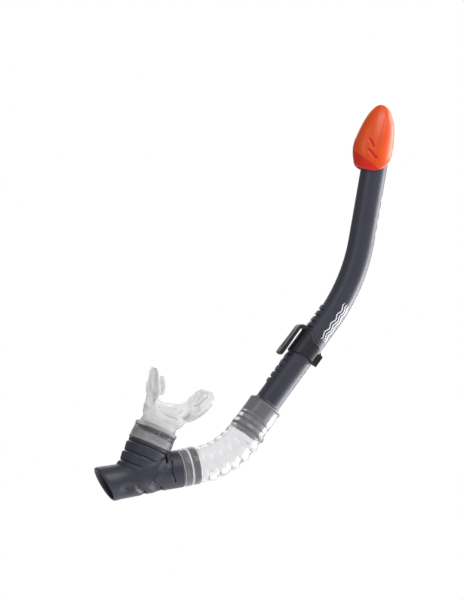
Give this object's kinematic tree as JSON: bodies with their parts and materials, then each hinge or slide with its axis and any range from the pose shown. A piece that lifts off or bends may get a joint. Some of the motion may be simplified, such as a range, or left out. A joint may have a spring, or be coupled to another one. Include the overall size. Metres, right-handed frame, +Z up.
{
  "type": "snorkel",
  "caption": "Bent snorkel with a splash guard on top, a clip for the mask strap, a clear flexible hose, a purge valve body and a clear mouthpiece.",
  "frame": {"origin": "centre of the slot in the keeper that the mask strap passes through", "axes": "+Z up as worn, +X from the drain towards the top of the barrel, Y across the plane of the tube's centreline"},
  "size_m": [0.2652, 0.0522, 0.3406],
  "materials": {
    "slate_plastic": "satin moulded",
    "orange_plastic": "semi-gloss moulded",
    "black_plastic": "satin moulded",
    "clear_hose": "clear flexible vinyl",
    "clear_silicone": "clear silicone",
    "clear_band": "clear moulded",
    "valve_rubber": "matt rubber"
  },
  "bodies": {
    "barrel": {"barrel_tube": "slate_plastic", "splash_guard_hood": "orange_plastic", "splash_guard_baffle": "orange_plastic"},
    "keeper": {"strap_keeper": "black_plastic"},
    "hose_top": {"hose_upper_cuff": "clear_hose", "hose_bellows": "clear_hose"},
    "hose_bottom": {"hose_lower_cuff": "clear_hose"},
    "y_body": {"body_housing": "slate_plastic", "purge_valve_seat": "slate_plastic"},
    "mouth": {"mouthpiece": "clear_silicone", "mouthpiece_band": "clear_band"},
    "flap": {"purge_valve_flap": "valve_rubber"}
  },
  "joints": [
    {"name": "keeper_slide", "type": "slide", "parent": "barrel", "child": "keeper", "axis": [0.6046, 0, 0.7965], "range_m": [-0.03, 0.016]},
    {"name": "hose_twist", "type": "hinge", "parent": "barrel", "child": "hose_top", "pos_m": [-0.02484, 0, -0.05722], "axis": [0.6046, 0, 0.7965], "range_deg": [-90, 90]},
    {"name": "hose_flex", "type": "hinge", "parent": "hose_top", "child": "hose_bottom", "pos_m": [-0.06209, 0, -0.09908], "axis": [0, 1, 0], "range_deg": [-40, 20], "stiffness_Nm_per_rad": 0.6, "springref_deg": 3.44, "deforming": ["hose_bellows"]},
    {"name": "body_swivel", "type": "hinge", "parent": "hose_bottom", "child": "y_body", "pos_m": [-0.09873, 0, -0.11092], "axis": [0.9803, 0, 0.1977], "range_deg": [-90, 90]},
    {"name": "mouthpiece_swivel", "type": "hinge", "parent": "y_body", "child": "mouth", "pos_m": [-0.12237, 0, -0.07785], "axis": [0.4067, 0, 0.9135], "range_deg": [-90, 90]},
    {"name": "purge_lift", "type": "slide", "parent": "y_body", "child": "flap", "axis": [-0.9803, 0, -0.1977], "range_m": [0, 0.0012], "stiffness_N_per_m": 30, "springref_m": -0.002}
  ]
}
